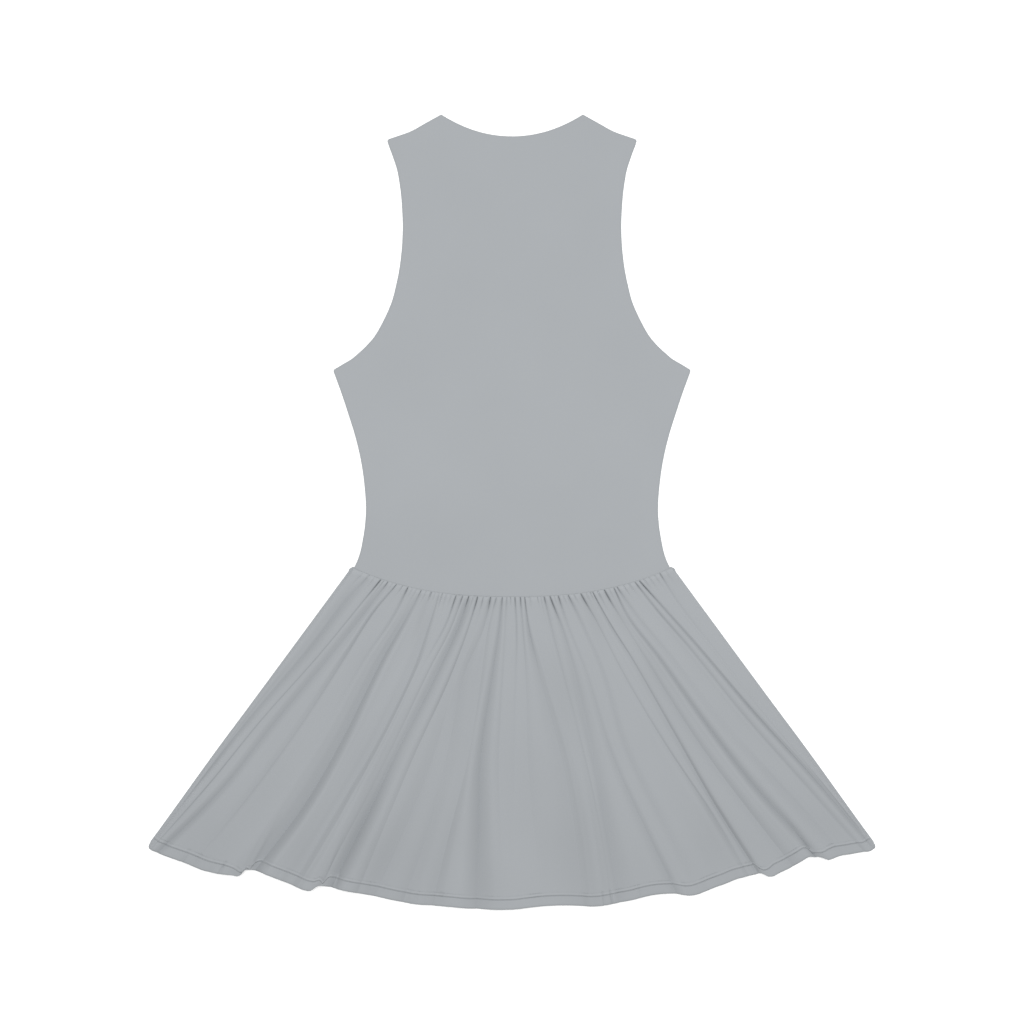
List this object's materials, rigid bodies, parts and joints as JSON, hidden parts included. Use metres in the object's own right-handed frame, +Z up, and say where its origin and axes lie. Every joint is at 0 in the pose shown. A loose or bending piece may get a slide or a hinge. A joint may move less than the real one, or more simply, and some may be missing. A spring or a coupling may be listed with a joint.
{
  "type": "sleeveless dress",
  "caption": "Sleeveless round-neck dress with a fitted bodice and a gathered flared skirt, laid flat with its back up.",
  "frame": {"origin": "on the surface the dress lies on, under the middle of its outline", "axes": "+Z up from the surface, +Y from the hem to the neck, +X across the back to its right"},
  "size_m": [0.8015, 0.874, 0.0125],
  "materials": {
    "jersey": "matte pale grey smooth knit"
  },
  "bodies": {
    "root": {"front_bodice": "jersey", "front_skirt": "jersey", "back_bodice": "jersey", "back_skirt": "jersey"}
  },
  "joints": []
}
